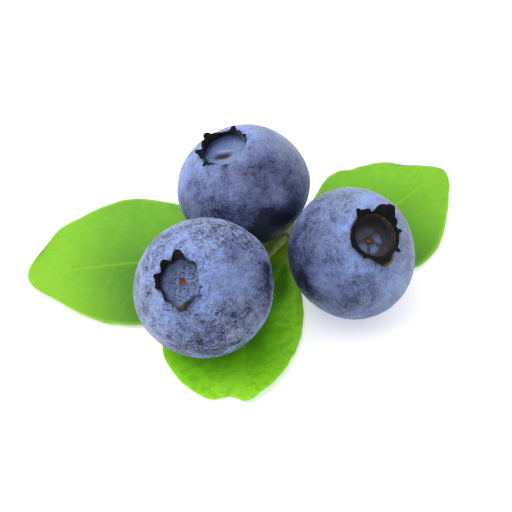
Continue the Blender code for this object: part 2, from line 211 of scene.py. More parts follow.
# Leaves: base, bend and tip of the midrib in plan. The sides on the left hand and on the right
# hand of the way from base to tip have a half width and a fullness at base and at tip, a fold
# and a wave. A notch, less than 0 for a bulge, has its depth, way off the midrib and half width.
# The midrib drifts from a share of the length by a slope, after a shift
LEAVES = {
    "left": {
        "base": (0.3, 1.1), "bend": (-11.14, -0.43), "tip": (-25.51, -3.77),
        "left": (8.92, 1.42, 1), "right": (9.07, 1.1, 0.91), "tip_radius": 1.86,
        "fold": (0.3, 0.7), "wave": (0.15, 0.06), "turns": 2.3, "tip_rise": 0.4,
        "notch": (0, 0, 1), "petiole": 0.11, "root": (2.9, 2.6), "seed": 5,
        "drift": (0.4, -1.6, 0.38), "green": 0, "sunny_side": -1, "tip_light": 0.85,
    },
    "front": {
        "base": (3.25, -0.75), "bend": (-0.74, -11.59), "tip": (-2.92, -20.95),
        "left": (5.18, 0.79, 0.75), "right": (9.02, 1.38, 0.72), "tip_radius": 2.24,
        "fold": (1.1, 0), "wave": (0.2, 0), "turns": 1.6, "tip_rise": 0,
        "notch": (1.35, 0, 1.4), "petiole": 0.1, "root": (3.3, 1.6), "seed": 6,
        "drift": (0.58, 5.5, -0.4), "green": 1, "sunny_side": -1, "tip_light": 1,
    },
    "right": {
        "base": (5.3, 2.55), "bend": (11.57, 4.1), "tip": (21.9, 11.53),
        "left": (7.15, 1.04, 0.96), "right": (9.12, 1.62, 1.24), "tip_radius": 2.49,
        "fold": (0.7, 0.05), "wave": (0.3, 0.05), "turns": 2.6, "tip_rise": 0.5,
        "notch": (-0.35, 0.8, 1.2), "petiole": 0.09, "root": (3.7, 3.1), "seed": 7,
        "drift": (0.62, 4.2, -0.7), "green": 0.12, "sunny_side": 1, "tip_light": 0.55,
    },
}
# Small dents of a leaf's margin: 1 on the left hand and -1 on the right, place along the leaf,
# depth, half width along the leaf
DENTS = {
    "left": (
        (-1, 0.53, -0.12, 0.06), (-1, 0.63, 0.16, 0.045), (1, 0.7, 0.08, 0.035),
        (-1, 0.74, 0.2, 0.06), (-1, 0.85, -0.22, 0.05), (-1, 0.98, 0.4, 0.055),
    ),
    "front": (
        (-1, -0.02, -2.3, 0.11), (1, 0.62, 0.1, 0.03), (1, 0.93, 0.25, 0.08),
        (-1, 0.87, 0.28, 0.06),
    ),
    "right": (
        (1, 0.3, 0.18, 0.035), (1, 0.6, 0.24, 0.04), (1, 0.77, -0.14, 0.05),
        (1, 0.9, 0.56, 0.055), (1, 0.98, 0.2, 0.05), (-1, 0.67, 0.1, 0.05),
        (-1, 0.94, -0.15, 0.05),
    ),
}
PETIOLE_HALF_WIDTH = 0.45
PETIOLE_RISE = 0.12
PETIOLE_LIFT = 0.55
PETIOLE = 0.62
BLADE = 0.3
TIP_BOW = 0.06
TIP_BOW_POWER = 6
TIP_REACH = 2.5
NOTCH_POWER = 8
FOLD_ACROSS = 1.6
FOLD_ALONG = 1.2
FOLD_EASE = 0.35
WAVE_ACROSS = 3
PETIOLE_ROWS = 26
BLADE_ROWS = 224
LEAF_COLUMNS = 150
MARGIN_LINE = 0.28
# Side veins: how many pairs, how far they lean and bend towards the tip, width
VEIN_PAIRS = 6
VEIN_LEAN = 0.2
VEIN_BEND = 0.04
VEIN_WIDTH = 0.16

# Twig: points of the middle line with the radius at each, then swellings as place along it,
# depth as a share of the radius, half width
TWIG = (
    (3.25, 1.45, 1.45, 0.56), (3.55, 3.45, 1.12, 0.66), (4.25, 7.05, 0.86, 0.72),
    (3.85, 11.05, 0.8, 0.76), (2.15, 16.1, 0.8, 0.78),
)
TWIG_NODES = ((0.02, 0.25, 0.05), (0.13, 0.3, 0.05), (0.55, 0.16, 0.03))
PEDICEL_RADIUS = 0.42
PEDICEL_END_RADIUS = 0.62
PEDICELS = {
    "front": {"straight": 0.6, "path": ((-0.9, -4.3, 1.75), (1.7, -0.9, 1.75), (3.25, 1.5, 1.45))},
    "back": {"straight": 0.25, "path": ((2, 3, 0.8), (3.5, 3.4, 1.1))},
    "right": {"straight": -0.3, "path": ((6.2, -0.9, 0.62), (4.8, 0.7, 0.9), (3.4, 2, 1.35))},
}
ROD_ROWS = 90

# Colours, in thousandths of linear red, green and blue; a pair is mixed by a noise or a mark
WHITE = (1000, 1000, 1000)
SKIN_TONES = {
    "bare": ((8, 8, 18), (18, 20, 52)),
    "thin": ((54, 68, 160), (70, 84, 180)),
    "middle": ((122, 163, 342), (146, 176, 290)),
    "bloom": ((196, 300, 652), (248, 326, 520)),
    "crest": (330, 430, 680),
    "blue_floor": ((7, 8, 18), (182, 246, 455)),
    "slate_floor": ((26, 24, 32), (70, 70, 102)),
    "star": (160, 208, 410),
    "rim_shade": (28, 25, 26),
    # Painted pale highlight on the ridge, and the scar's dark ring, which on the back berry is painted
    # shade in a notch
    "ridge_with_painted_highlight": (300, 390, 660),
    "scar_ring_and_notch_shade": (14, 12, 18),
    "scar": ((370, 68, 10), (340, 150, 24)),
    "scar_fleck": (50, 16, 10),
    "stem_end": (70, 60, 45),
    "sheen": (1000, 980, 930),
}
FILM_TONES = {
    "film": ((3, 3, 4), (10, 9, 10)),
    "worn": (40, 22, 14),
    "tan": (160, 115, 68),
    "dusty": (170, 235, 450),
}
LEAF_TONES = {
    "light": ((56, 185, 14), (70, 215, 18)),
    "sunny": (155, 400, 28),
    "deep": ((180, 660, 2), (220, 720, 3)),
    "cloud": (85, 280, 8),
    "painted_shade_near_base": (45, 165, 4),
    "net": (240, 500, 60),
    "tip": ((250, 560, 28), (345, 800, 34)),
    "shaded": (20, 100, 1),
    "petiole": (300, 400, 20),
    "gland": (420, 800, 130),
    "blotch": (60, 270, 2),
    "side_veins": (280, 560, 80),
    "midrib": (310, 590, 25),
    "margin": (360, 720, 60),
    "underside": (300, 440, 180),
}
BARK_TONES = {
    "brown": ((120, 85, 35), (200, 160, 70)),
    "fresh": ((420, 490, 130), (500, 560, 170)),
    "fibre": (45, 38, 14),
    "fleck": (300, 250, 150),
    "cut_end": (560, 470, 270),
}


# Common shapes


def smooth_step(value):
    """0 below 0, 1 above 1, and 3t^2 - 2t^3 between."""
    part = np.clip(value, 0, 1)
    return part * part * (3 - 2 * part)


def rise(value, start, run):
    """0 up to the start, 1 from a run further on, and a smooth step between."""
    return smooth_step((value - start) / run)


def fall(value, start, run):
    """1 up to the start, 0 from a run further on, and a smooth step between."""
    return 1 - rise(value, start, run)


def hill(away, half_width, power=2):
    """exp(-(away / half width)^power), with an even power."""
    return np.exp(-((away / half_width) ** power))


def from_side(angle, centre):
    """Degrees from a centre, between -180 and 180, of an angle in radians."""
    return (np.degrees(angle) - centre + 180) % 360 - 180


def sector(angle, centre, half_width):
    """exp(-(degrees from the centre / half width)^2) of an angle in radians."""
    return hill(from_side(angle, centre), half_width)


def lumps(points, size, seed):
    """Smooth random heights from -1 to 1: values on a cubic lattice of the given size, blended
    between its corners by smooth steps."""
    lattice = np.random.default_rng(seed).uniform(-1, 1, (16, 16, 16))
    place = np.asarray(points) / size
    low = np.floor(place).astype(int)
    blend = smooth_step(place - low)
    total = np.zeros(place.shape[:-1])
    for corner in np.ndindex(2, 2, 2):
        share = np.where(corner, blend, 1 - blend).prod(-1)
        x, y, z = np.moveaxis((low + corner) % 16, -1, 0)
        total += share * lattice[x, y, z]
    return total


def smooth_line(points, count):
    """Evenly spread points of the curve that passes through the given points: between two of
    them it is the cubic whose slopes are set by their neighbours."""
    known = np.asarray(points, float)
    ends = np.vstack((2 * known[0] - known[1], known, 2 * known[-1] - known[-2]))
    place = np.linspace(0, len(known) - 1, 60 * len(known))
    index = np.minimum(place.astype(int), len(known) - 2)
    t = (place - index)[:, None]
    # Weights of the four points around, for each power of the way between the middle two
    weights = np.array(((0, 2, 0, 0), (-1, 0, 1, 0), (2, -5, 4, -1), (-1, 3, -3, 1))) / 2
    around = ends[index[:, None] + np.arange(4)]
    dense = np.einsum("ps,psc->pc", t ** np.arange(4) @ weights, around)
    steps = np.linalg.norm(np.diff(dense[:, :3], axis=0), axis=1)
    run = np.concatenate(((0,), np.cumsum(steps)))
    even = np.linspace(0, run[-1], count)
    return np.stack([np.interp(even, run, column) for column in dense.T], axis=1)


def round_axis(distance, angle, height):
    """Points round an axis: distance times the angle's cosine and sine, and the height."""
    return np.stack((distance * np.cos(angle), distance * np.sin(angle), height), axis=-1)


def grid_faces(rows, columns, wrap_rows=False):
    """Four-cornered faces between neighbouring points of a grid whose columns close to a ring,
    counted row by row."""
    here = np.arange(rows * columns).reshape(rows, columns)
    below = np.roll(here, -1, axis=0)
    beside = np.roll(here, -1, axis=1)
    corners = np.stack((here, beside, np.roll(below, -1, axis=1), below), axis=-1)
    return corners[: rows if wrap_rows else -1].reshape(-1, 4)


def closed_faces(rows, columns, first=0, turn=1):
    """Faces of a grid of rings and of the fans from its first and last ring to the two closing
    points after it, counted from the first point. A turn of -1 faces them the other way."""
    ring = np.arange(columns)
    beside = np.roll(ring, -1)
    end = np.full(columns, rows * columns)
    shift = (rows - 1) * columns
    fans = np.vstack((np.stack((end, beside, ring), axis=1),
                      np.stack((ring + shift, beside + shift, end + 1), axis=1)))
    return [*(grid_faces(rows, columns)[:, ::turn] + first), *(fans[:, ::turn] + first)]


def with_ends(values):
    """A grid's values, then its first and its last again for the two closing points."""
    flat = np.ravel(values)
    return np.append(flat, (flat[0], flat[-1]))


def put(name, data):
    """A new object with these data, in the scene."""
    thing = bpy.data.objects.new(name, data)
    bpy.context.scene.collection.objects.link(thing)
    return thing


def add_piece(name, node, finish, points, faces, marks):
    """A smooth mesh from whole arrays of points and faces, riding on the body and standing for
    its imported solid. marks are values or vectors kept at each point for the finish to read."""
    mesh = bpy.data.meshes.new(name)
    points = np.asarray(points, np.float32).reshape(-1, 3) * MM
    mesh.from_pydata(points, [], faces, shade_flat=False)
    for label, values in marks.items():
        kind, key = ("FLOAT_VECTOR", "vector") if values.ndim == 2 else ("FLOAT", "value")
        mark = mesh.attributes.new(label, kind, "POINT")
        mark.data.foreach_set(key, values.astype(np.float32).ravel())
    mesh.validate()
    mesh.materials.append(finish)
    piece = put(name, mesh)
    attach(piece, "root")
    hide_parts(node)


# Berries


def to_place(name, local):
    """Points of a berry's own frame, across, up and along its crown, in the part's frame."""
    axis = np.array(BERRIES[name]["axis"])
    axis = axis / np.linalg.norm(axis)
    across = np.array((1, 0, 0)) - axis[0] * axis
    across /= np.linalg.norm(across)
    turn = np.stack((across, np.cross(axis, across), axis))
    return np.array(BERRIES[name]["centre"]) - MIDDLE + local @ turn


def skin_height(radius, distance):
    """Upper skin of a flattened ball: share of height times sqrt(radius^2 - distance^2)."""
    return OBLATE * np.sqrt(np.maximum(0, radius**2 - distance**2))


def mouth_radius(name):
    """Radius where the plain skin begins, outside the crown."""
    return CROWNS[name]["collar"] + MOUTH_GAP


def mouth_height(name):
    """Height of the skin where it begins."""
    return skin_height(BERRIES[name]["radius"], mouth_radius(name))


def berry_section(name):
    """Half section from the middle of the bowl to the middle of the stem dimple, as distance and
    height: a floor with a sunk scar, a wall up past the crown's foot to a rounded lip, the
    flattened ball's skin by equal angles, and a rounded dimple."""
    radius = BERRIES[name]["radius"]
    collar = CROWNS[name]["collar"]
    mouth = mouth_radius(name)
    skin = mouth_height(name)
    floor = skin - BOWL_DEPTH
    flat = np.linspace(NEAR_AXIS, collar - 0.5, BOWL_ROWS)
    scar = -SCAR_DEPTH * hill(flat, SCAR_RADIUS, 4)
    ring = 0.07 * hill(flat - 1.7 * SCAR_RADIUS, 0.22)
    dome = -0.05 * np.sin(np.pi * flat / collar) ** 2
    bowl = np.stack((flat, floor + scar + ring + dome), axis=1)
    wall = smooth_line(
        (
            bowl[-1], (collar - 0.22, floor + 0.1), (collar - 0.09, floor + 0.42),
            (collar - 0.04, skin - 0.3), (collar + 0.03, skin - 0.14), (collar + 0.14, skin - 0.06),
            (mouth - 0.2, skin_height(radius, mouth - 0.2) + 0.02), (mouth, skin + LIP_HEIGHT),
        ),
        WALL_ROWS,
    )[1:]
    first = math.asin((mouth + 0.05) / radius)
    last = math.pi - math.asin(DIMPLE_RADIUS / radius)
    angle = np.linspace(first, last, SKIN_ROWS)
    distance = radius * np.sin(angle)
    height = OBLATE * radius * np.cos(angle)
    height += LIP_HEIGHT * hill(distance - mouth, LIP_WIDTH) * (height > 0)
    end = -OBLATE * radius
    dimple = smooth_line(
        (
            (distance[-1], height[-1]), (DIMPLE_RADIUS * 0.78, end + DIMPLE_DEPTH * 0.35),
            (DIMPLE_RADIUS * 0.6, end + DIMPLE_DEPTH * 0.85), (NEAR_AXIS, end + DIMPLE_DEPTH),
        ),
        DIMPLE_ROWS,
    )[1:]
    return np.vstack((bowl, wall, np.stack((distance, height), axis=1), dimple))


def swelling(name, angle, distance):
    """1 plus waves and one-sided bulges round the axis, growing from none at the two ends."""
    mouth = mouth_radius(name)
    share = np.maximum(0, distance - mouth) / (BERRIES[name]["radius"] - mouth)
    total = sum(depth * np.cos(waves * angle + turn) for waves, depth, turn in SWELLINGS[name])
    for centre, depth, half_width in BULGES[name]:
        total = total + depth * sector(angle, centre, half_width)
    return 1 + total * share


def soft_patches(patches, local):
    """Sum of soft round patches: each falls off with the squared angle from its own middle."""
    way = local / np.linalg.norm(local, axis=-1, keepdims=True)
    total = np.zeros(local.shape[:-1])
    for around, down, size, depth in patches:
        a, d = math.radians(around), math.radians(down)
        middle = np.array((math.sin(d) * math.cos(a), math.sin(d) * math.sin(a), math.cos(d)))
        away = np.degrees(np.arccos(np.clip(way @ middle, -1, 1)))
        total += depth / 100 * hill(away, size)
    return total


def ring_and_ridge(name, place, seed):
    """Strength of the dark ring about the scar, a slanting ellipse with an uneven edge that on the
    back berry is painted shade in a notch, and of the ridge along its far side with its painted
    pale highlight: each falls off with a power of the way from its middle."""
    half, stretch, slant, ring_east, ring_north = CROWNS[name]["ring"]
    slant = math.radians(slant)
    east = place[..., 0] - ring_east
    north = place[..., 1] - ring_north
    long_way = east * math.cos(slant) + north * math.sin(slant)
    short_way = north * math.cos(slant) - east * math.sin(slant)
    uneven = half * (1 + 0.25 * lumps(place, 0.35, seed))
    ring = hill(np.hypot(long_way / stretch, short_way), uneven, 4)
    ridge_with_painted_highlight = 0.7 * CROWNS[name]["ridge_with_painted_highlight"] * hill(short_way - 1.5 * half, 0.11)
    return ring, ridge_with_painted_highlight * hill(long_way, stretch * half, 4)


def bowl_marks(name, local, angle, distance, seed):
    """Strength in the bowl of its floor, star, wall's painted shade, scar and calm part: products of
    rises, falls and cosines. The star is painted weakest and a dark bowl's wall shade darkest on
    the viewer's upper left, away from the light, and the pits of a floor lie towards the viewer's
    right and front."""
    collar = CROWNS[name]["collar"]
    lit_side = np.cos(angle + math.radians(STAR_SIDE))
    ray = np.abs(np.cos(2.5 * (angle - math.radians(STAR_TURN)))) + 0.25 * lumps(local, 0.5, seed + 31)
    star = rise(ray, 0.25, 0.4) * rise(distance, 0.42, 0.4) * fall(distance, 1.3, 0.55)
    orange, scar_east, scar_north = CROWNS[name]["scar"]
    from_scar = np.hypot(local[..., 0] - scar_east, local[..., 1] - scar_north)
    if name == "back":
        calm = 0.7 + 0.12 * lumps(local, 0.8, seed + 34)
    else:
        calm = 0.35 - 0.5 * np.cos(angle + math.radians(PITTED_SIDE)) * distance / collar
        calm = 0.85 * smooth_step(calm) + 0.5 * lumps(local, 0.6, seed + 34)
    return {
        "bowl": fall(distance, collar - 0.05, 0.3),
        "star": star * (0.16 + 0.84 * smooth_step(0.5 + 0.6 * lit_side)),
        "rim_shade": rise(distance, 1.2, 0.5) * (0.75 - 0.25 * lit_side),
        "scar": orange * hill(from_scar, SCAR_RADIUS, 4),
        "calm_floor": calm.clip(0, 1),
    }


def make_berry(name, finish):
    """One berry: its half section turned round the axis, swollen, and dented by low smooth
    lumps along the way out from its middle. It is cut level where it would sink in the table."""
    collar = CROWNS[name]["collar"]
    section = berry_section(name)
    seed = list(BERRIES).index(name)
    angle = 2 * np.pi * np.arange(BERRY_COLUMNS) / BERRY_COLUMNS
    distance = section[:, :1] * np.ones_like(angle)
    height = section[:, 1:] * np.ones_like(angle)
    above = height > 0
    reach = distance * swelling(name, angle, distance)
    reach += hill(distance - collar, 0.35) * above * collar_bulge(name, angle)
    height -= 0.3 * hill(distance - collar - 0.3, 0.6) * above * low_side(name, angle)
    smooth = round_axis(reach, angle, height)
    # The scar's dark ring, on the back berry painted shade in a notch, and the ridge beside it with a
    # painted highlight
    ring, ridge_with_painted_highlight = (part * above for part in ring_and_ridge(name, smooth, seed + 33))
    smooth[..., 2] += CROWNS[name]["ridge_with_painted_highlight"] * (0.06 * ridge_with_painted_highlight - 0.16 * ring)
    # Bloom thinned where rubbed, and painted shade between the berries and on their lower sides
    rubbed_and_painted_shade = soft_patches(RUBBED_AND_PAINTED_SHADE[name], smooth)
    crisp = CRISPNESS[name] + soft_patches(MARKED[name], smooth)
    crisp = crisp * (1 - MARKS_LOST_UNDER_RUBBING_AND_SHADE * rubbed_and_painted_shade.clip(0, 1))
    dents = sum(depth * lumps(smooth, size, seed + step) for depth, size, step in DENTS_OF_SKIN)
    # Fine creases run out from the crown and fade on the way down the berry
    creases = np.sin(CREASES * angle + 3 * lumps(smooth, 2.2, seed + 30))
    dents += CREASE_DEPTH * creases * hill(distance - mouth_radius(name), 1.1) * above
    outside = np.where(above, rise(distance, collar + 0.1, 1.2), 1)
    way = smooth / np.linalg.norm(smooth, axis=-1, keepdims=True)
    local = smooth + way * (outside * dents)[..., None]
    points = to_place(name, local).reshape(-1, 3)
    points[:, 2] = np.maximum(points[:, 2], 0)
    ends = (points[:BERRY_COLUMNS].mean(0), points[-BERRY_COLUMNS:].mean(0))
    marks = {
        "rubbed_and_painted_shade": rubbed_and_painted_shade,
        "crisp": crisp.clip(0.15, 2),
        # Painted greyish sheen towards the outlines
        "greyer_tone_and_painted_sheen": soft_patches(GREYER_PAINTED_SHEEN[name], local).clip(0, 1),
        "scar_ring_and_notch_shade": ring,
        "ridge_with_painted_highlight": ridge_with_painted_highlight,
        "stem_end": hill(distance, DIMPLE_RADIUS, 4) * ~above,
        "dark_bowl": np.full(distance.shape, float(name == "right")),
    }
    in_bowl = bowl_marks(name, local, angle, distance, seed)
    marks |= {label: values * above for label, values in in_bowl.items()}
    marks = {label: with_ends(values) for label, values in marks.items()}
    marks["grain"] = np.vstack((local.reshape(-1, 3), (0, 0, section[0, 1]), (0, 0, section[-1, 1])))
    add_piece("berry_skin_" + name, "berry_" + name, finish,
              np.vstack((points, *ends)), closed_faces(len(section), BERRY_COLUMNS, turn=-1), marks)


# Crowns


def lobe_shape(name, angle):
    """Length of the crown's edge beyond its collar, and its extra flare: both are the highest of
    the lobes' bumps there, each exp(-slope * |angle away / half width|^squareness)."""
    lobes = np.array(CROWNS[name]["lobes"], float)
    away = np.abs(from_side(angle[:, None], lobes[:, 0])) / lobes[:, 2]
    bumps = np.exp(-LOBE_SLOPE * away ** lobes[:, 3])
    length = CROWNS[name]["least"] + (lobes[:, 1] * bumps).max(axis=1)
    return length, (lobes[:, 4] * bumps).max(axis=1)


def collar_bulge(name, angle):
    """How far the collar stands out at an angle: more under the lobes, less between them, and
    more where it stands lower."""
    lobes = np.array(CROWNS[name]["lobes"], float)
    bumps = sector(angle[..., None], lobes[:, 0], 1.3 * lobes[:, 2]) * np.minimum(1, lobes[:, 1])
    return CROWNS[name]["bulge"] * (2 * bumps.max(-1) - 0.7) + 0.25 * low_side(name, angle)


def low_side(name, angle):
    """How much lower the collar stands at an angle."""
    centre, depth, half_width = CROWNS[name]["low_side"]
    return depth * sector(angle, centre, half_width)


def film_marks(name, angle, run, share, inward):
    """Bloom and tan of the film: sums of falls and rises by the way past the collar, on the
    inner face, where inward is 1, or on the outer one, and in sectors round the crown."""
    if name == "front":
        # On the front crown the inner face's bloom is painted thinner on the viewer's upper left, as
        # shade
        inner = run + 0.95 + 0.2 * sector(angle, 145, 50) - 0.85 * sector(angle, 280, 34)
        bloom = 0.8 * inward * fall(inner, 0, 1.05)
        bloom += 0.45 * (1 - inward) * fall(run, -0.1, 0.25)
        bloom += 0.95 * sector(angle, 5, 42) * fall(run, 0.1, 0.25)
        bloom += 0.95 * sector(angle, 328, 14) * fall(run, 0.5, 0.25)
        tan = 0.18 * sector(angle, 282, 14) * rise(run, 0, 0.4) + 0.04 * sector(angle, 80, 12) * inward
    elif name == "back":
        bloom = 0.75 * inward * fall(run, -0.9, 0.7)
        bloom += 0.9 * (1 - inward) * fall(run, 0.05, 0.3)
        bloom += 2.2 * sector(angle, 300, 58) * fall(run, 0.12, 0.22)
        tan = np.zeros_like(run)
    else:
        wall = inward * fall(run, -0.12, 0.12)
        bloom = 0.18 * inward * fall(run, -1, 0.5) + 0.08 * wall
        bloom += 0.4 * (1 - inward) * fall(run, -0.12, 0.2)
        rings = 0.95 * hill(run - 0.16, 0.028) + 0.85 * hill(run + 0.07, 0.028)
        tan = rings * inward * (sector(angle, 45, 66) + 0.1) + 0.18 * wall
        tan += 0.9 * sector(angle, 298, 13) * rise(share, 0.86, 0.1)
    return bloom.clip(0, 1), tan.clip(0, 1)


def make_crown(name, finish):
    """One crown: a thin film that rises from the bowl, bends outwards at its flare and ends in
    uneven lobes. Its line is summed from its lean, which goes smoothly from upright to the
    flare at the collar's top and curls a little at the lobes' ends."""
    crown = CROWNS[name]
    seed = 40 + list(CROWNS).index(name)
    turn = 2 * np.pi * np.arange(CROWN_COLUMNS) / CROWN_COLUMNS
    circle = round_axis(crown["collar"], turn, 0 * turn)
    ragged = 0.03 * lumps(circle, 0.33, seed) + 0.018 * lumps(circle, 0.14, seed + 1)
    soft = lumps(circle, 1.3, seed + 2)
    reach, extra_flare = lobe_shape(name, turn)
    reach = np.maximum(0.05, reach + ragged * smooth_step(reach / 0.4))
    foot = mouth_height(name) - BOWL_DEPTH - 0.03
    collar = mouth_height(name) + COLLAR_TOP - foot - low_side(name, turn)
    share = np.linspace(0, 1, CROWN_ROWS)[:, None] * np.ones_like(turn)
    along = share * (collar + reach)
    run = along - collar
    beyond = np.maximum(0, run)
    lean = np.radians(crown["flare"] + extra_flare) * (1 + 0.1 * soft) * rise(run, -0.24, 0.48)
    lean += np.radians(CURL) * beyond**2 * (1 + 0.6 * soft)
    lean -= 0.06 * np.sin(np.pi * np.clip(along / collar, 0, 1))
    step = np.diff(along, axis=0)
    middle = (lean[1:] + lean[:-1]) / 2
    distance = crown["collar"] + collar_bulge(name, turn) * smooth_step(along / 0.5)
    distance[1:] += np.cumsum(step * np.sin(middle), axis=0)
    height = np.full_like(along, foot)
    height[1:] += np.cumsum(step * np.cos(middle), axis=0)
    # Dry wrinkles: ridges that run up the film and lumps across it
    here = round_axis(distance, turn, height)
    wrinkle = 0.026 * np.sin(31 * turn + 4 * lumps(here, 0.9, seed + 3)) * smooth_step(beyond * 3)
    wrinkle += 0.055 * lumps(here, 0.45, seed + 4) * smooth_step(beyond * 3 + 0.2)
    rounded = np.sqrt(np.clip(1 - ((share - 0.93) / 0.07).clip(0) ** 2, 0.02, 1))
    half = (FILM_AT_FOOT - (FILM_AT_FOOT - FILM_AT_EDGE) * share) * rounded / 2

    def fold(values):
        """The outer face's values from foot to edge, then the inner face's from edge to foot."""
        return np.concatenate((values, values[::-1]))

    inward = np.repeat((0, 1), CROWN_ROWS)[:, None] * np.ones_like(turn)
    offset = fold(wrinkle) + fold(half) * (1 - 2 * inward)
    lean = fold(lean)
    local = round_axis(fold(distance) + offset * np.cos(lean), turn, fold(height) - offset * np.sin(lean))
    bloom, tan = film_marks(name, turn, fold(run), fold(share), inward)
    marks = {"grain": local.reshape(-1, 3), "bloom": bloom.ravel(), "tan": tan.ravel(),
             "edge": rise(fold(share), 0.9, 0.1).ravel()}
    faces = [*grid_faces(len(local), CROWN_COLUMNS, wrap_rows=True)[:, ::-1]]
    add_piece("crown_film_" + name, "calyx_" + name, finish,
              to_place(name, local), faces, marks)


# Leaves


def leaf_length(leaf):
    """Length from the blade's base to its tip, in a straight line."""
    return math.dist(leaf["tip"], leaf["base"])


def side_width(leaf, side, share):
    """Half width along the leaf: sqrt(body^2 + rounding), where body is a rise and fall by
    powers that is widest between base and tip, and rounding keeps the tip blunt."""
    widest, base_power, tip_power = leaf[side]
    peak = base_power / (base_power + tip_power)
    rest = np.maximum(0, 1 - share)
    body = widest * (np.maximum(share, 0) / peak) ** base_power * (rest / (1 - peak)) ** tip_power
    to_tip = rest * leaf_length(leaf)
    rounding = 2 * leaf["tip_radius"] * to_tip * np.exp(-to_tip / TIP_REACH)
    width = np.maximum(PETIOLE_HALF_WIDTH, np.sqrt(body**2 + rounding))
    return np.where(share <= 0, PETIOLE_HALF_WIDTH, width)


def leaf_plan(name, share, across):
    """Plan of a point, and its way off the midrib: a midrib bent by one control point, a bowed
    margin near the tip, a notch there, and a few small dents of the margin."""
    leaf = LEAVES[name]
    along = np.maximum(0, share)
    bow = TIP_BOW * along**TIP_BOW_POWER
    widths = (side_width(leaf, side, share - bow) for side in ("left", "right"))
    width = np.where(across > 0, *widths)
    for side, place, depth, half_width in DENTS[name]:
        width = width - (across * side > 0) * depth * hill(share - place, half_width)
    ripple = 0.025 * np.sin(46 * share + leaf["seed"]) + 0.015 * np.sin(83 * share + 2 * across)
    width = width + ripple * smooth_step(share * 8) * smooth_step((1 - share) * 10)
    offset = across * width
    depth, middle, spread = leaf["notch"]
    notch = depth / leaf_length(leaf) * along**NOTCH_POWER * hill(offset - middle, spread)
    t = (share - bow * across**2 - notch)[..., None]
    base, bend, tip = (np.array(leaf[key]) for key in ("base", "bend", "tip"))
    point = (1 - t) ** 2 * base + 2 * t * (1 - t) * bend + t**2 * tip
    slope = 2 * (1 - t) * (bend - base) + 2 * t * (tip - bend)
    slope /= np.linalg.norm(slope, axis=-1, keepdims=True)
    way = np.stack((-slope[..., 1], slope[..., 0]), axis=-1)
    return point + way * offset[..., None], offset


def leaf_height(leaf, share, across):
    """Height of the blade's underside: a shallow fold, waved margins and a lifted tip."""
    along = np.maximum(share, 0)
    edge = np.abs(across)
    fold_side = np.where(across > 0, *leaf["fold"])
    wave_side = np.where(across > 0, *leaf["wave"])
    fold = fold_side * edge**FOLD_ACROSS * along**FOLD_ALONG * (1 - FOLD_EASE * along)
    wave = wave_side * edge**WAVE_ACROSS * along * np.sin(2 * np.pi * leaf["turns"] * along)
    blade = np.maximum(0, fold + wave + leaf["tip_rise"] * along**3)
    stalk = np.maximum(0, -share) / leaf["petiole"] * PETIOLE_RISE
    return np.where(share > 0, blade, stalk)


def vein_pattern(leaf, share, across, offset):
    """Strength of the veins: a midrib that thins to the tip, and side veins that leave it at
    even steps and bend towards the tip, each a narrow bump of the distance to its line."""
    taper = 0.3 * (1 - 0.75 * np.clip(share, 0, 1)) + 0.05
    start, slope, shift = leaf["drift"]
    middle = shift * smooth_step(share / 0.3) + slope * np.maximum(0, share - start)
    main = hill(offset - middle, taper) * smooth_step((1 - share) * 4.5)
    edge = np.abs(across)
    width = VEIN_WIDTH * (1.15 - 0.65 * edge)
    sides = np.zeros_like(share)
    for pair in range(VEIN_PAIRS):
        for side in (-1, 1):
            start = 0.07 + 0.83 * (pair + (0.18 if side > 0 else 0)) / VEIN_PAIRS
            line = start + VEIN_LEAN * edge + VEIN_BEND * edge**2
            line = line + 0.006 * np.sin(9 * edge + pair * 1.7 + side)
            vein = hill((share - line) * leaf_length(leaf) * 0.9, width)
            sides = np.maximum(sides, vein * (across * side > 0))
    sides = sides * fall(edge, 0.72, 0.22) * smooth_step(np.abs(offset) / 0.25)
    return np.where(share > 0, main, 1), np.where(share > 0, sides, 0)


def leaf_marks(leaf, share, across, on_blade):
    """Strength of the margin's pale line, of the painted light towards the sunny side and at the tip,
    and of the berries' painted shade on the front leaf: products of rises and falls along and
    across it. On the front leaf the tip's yellower tone and painted light lie on the viewer's
    right of the tip and along its right margin."""
    own = leaf["green"]
    to_margin = (1 - np.abs(across)) * side_width(leaf, "left", share)
    tip_light = leaf["tip_light"] * rise(share, 0.55 + 0.06 * own, 0.42)
    tip_light = tip_light * (1 - 0.45 * own * rise(-across, 0.2, 0.6))
    shaded = own * fall(share, 0.5, 0.27) * (0.66 + 0.34 * fall(share, 0.12, 0.25))
    shaded *= fall(across, 0.05 + 0.3 * fall(share, 0.15, 0.25), 0.45)
    shaded *= rise(share, 0, 0.07) * (0.74 + 0.26 * rise(share, 0.1, 0.12))
    return {
        "margin": hill(to_margin, MARGIN_LINE) * on_blade,
        "along": share,
        "sunny": smooth_step(0.28 + 0.9 * leaf["sunny_side"] * across),
        "tip_light": np.maximum(tip_light, 0.55 * own * rise(across, 0.3, 0.5)),
        "shaded": shaded,
        "depth_of_green": np.full(share.shape, own),
    }


